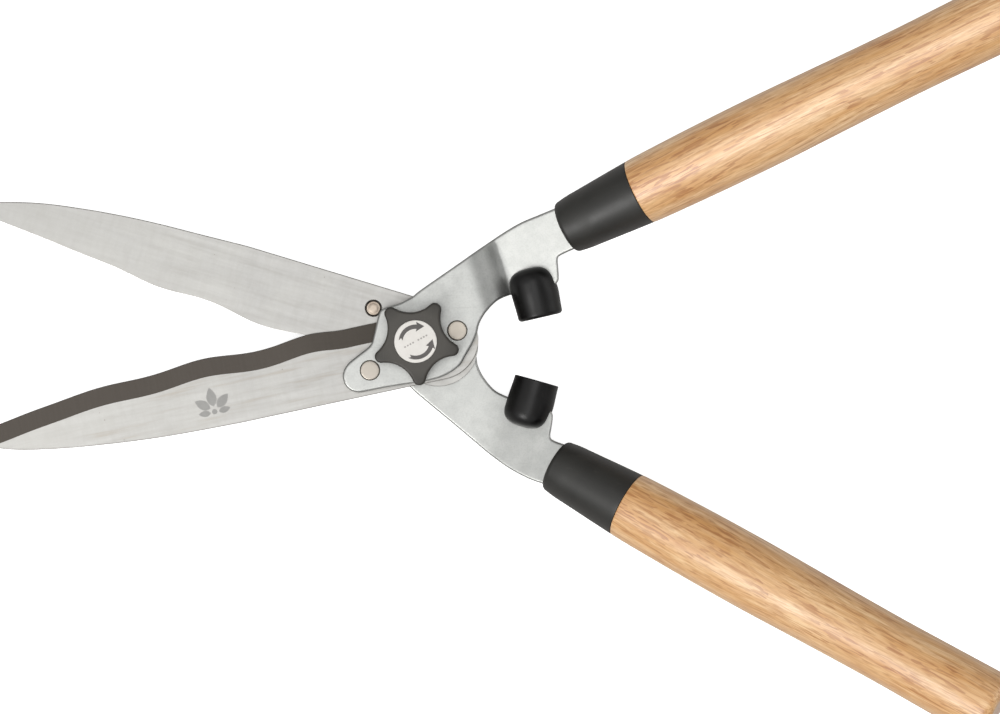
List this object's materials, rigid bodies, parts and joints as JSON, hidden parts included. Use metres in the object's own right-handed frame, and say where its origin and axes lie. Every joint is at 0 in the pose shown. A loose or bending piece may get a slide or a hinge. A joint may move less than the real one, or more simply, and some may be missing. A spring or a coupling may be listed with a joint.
{
  "type": "hedge shears",
  "caption": "Hand hedge shears: wavy bypass blades on one pivot bolt, star tension knob, rubber stop buffers and turned wooden handles.",
  "frame": {"origin": "on the pivot axis, at the flat back face of the pivot bolt's head", "axes": "+Z along the pivot axis towards the tension knob; +X from the blade tips to the handle ends, with the blades flat in XY; the shears stand open at rest"},
  "size_m": [0.5287, 0.3672, 0.0985],
  "materials": {
    "blade_steel": "ground, fine cross grain",
    "arm_steel": "pressed and tumbled, satin",
    "rivet_steel": "ground flush, slightly warm",
    "fastener_steel": "plated",
    "spring_steel": "hardened, dark",
    "insert_brass": "turned",
    "knob_plastic": "moulded, fine texture",
    "label_film": "printed film",
    "buffer_rubber": "moulded, satin",
    "ferrule_plastic": "moulded, satin",
    "handle_wood": "turned and varnished"
  },
  "bodies": {
    "rear_half": {"rear_blade": "blade_steel", "rear_arm": "arm_steel", "rear_outer_rivet": "rivet_steel", "rear_inner_rivet": "rivet_steel", "rear_bumper": "buffer_rubber", "rear_ferrule": "ferrule_plastic", "rear_handle": "handle_wood", "pivot_bolt": "fastener_steel"},
    "front_half": {"front_blade": "blade_steel", "front_arm": "arm_steel", "front_outer_rivet": "rivet_steel", "front_inner_rivet": "rivet_steel", "front_bumper": "buffer_rubber", "front_ferrule": "ferrule_plastic", "front_handle": "handle_wood", "wave_spring_washer": "spring_steel"},
    "washer": {"thrust_washer": "fastener_steel"},
    "knob": {"tension_knob": "knob_plastic", "knob_insert": "insert_brass", "knob_label": "label_film"}
  },
  "joints": [
    {"name": "blade_pivot", "type": "hinge", "parent": "rear_half", "child": "front_half", "pos_m": [0, 0, 0.01225], "axis": [0, 0, 1], "range_deg": [-28.5, 50]},
    {"name": "knob_advance", "type": "slide", "parent": "rear_half", "child": "washer", "axis": [0, 0, 1], "range_m": [-0.00016, 0.00156], "deforming": ["wave_spring_washer"]},
    {"name": "knob_turn", "type": "hinge", "parent": "washer", "child": "knob", "pos_m": [0, 0, 0.0234], "axis": [0, 0, 1], "range_deg": [-45, 450]}
  ],
  "couplings": [
    {"joint": "knob_turn", "follows": "knob_advance", "rad_per_m": 5026.5}
  ]
}
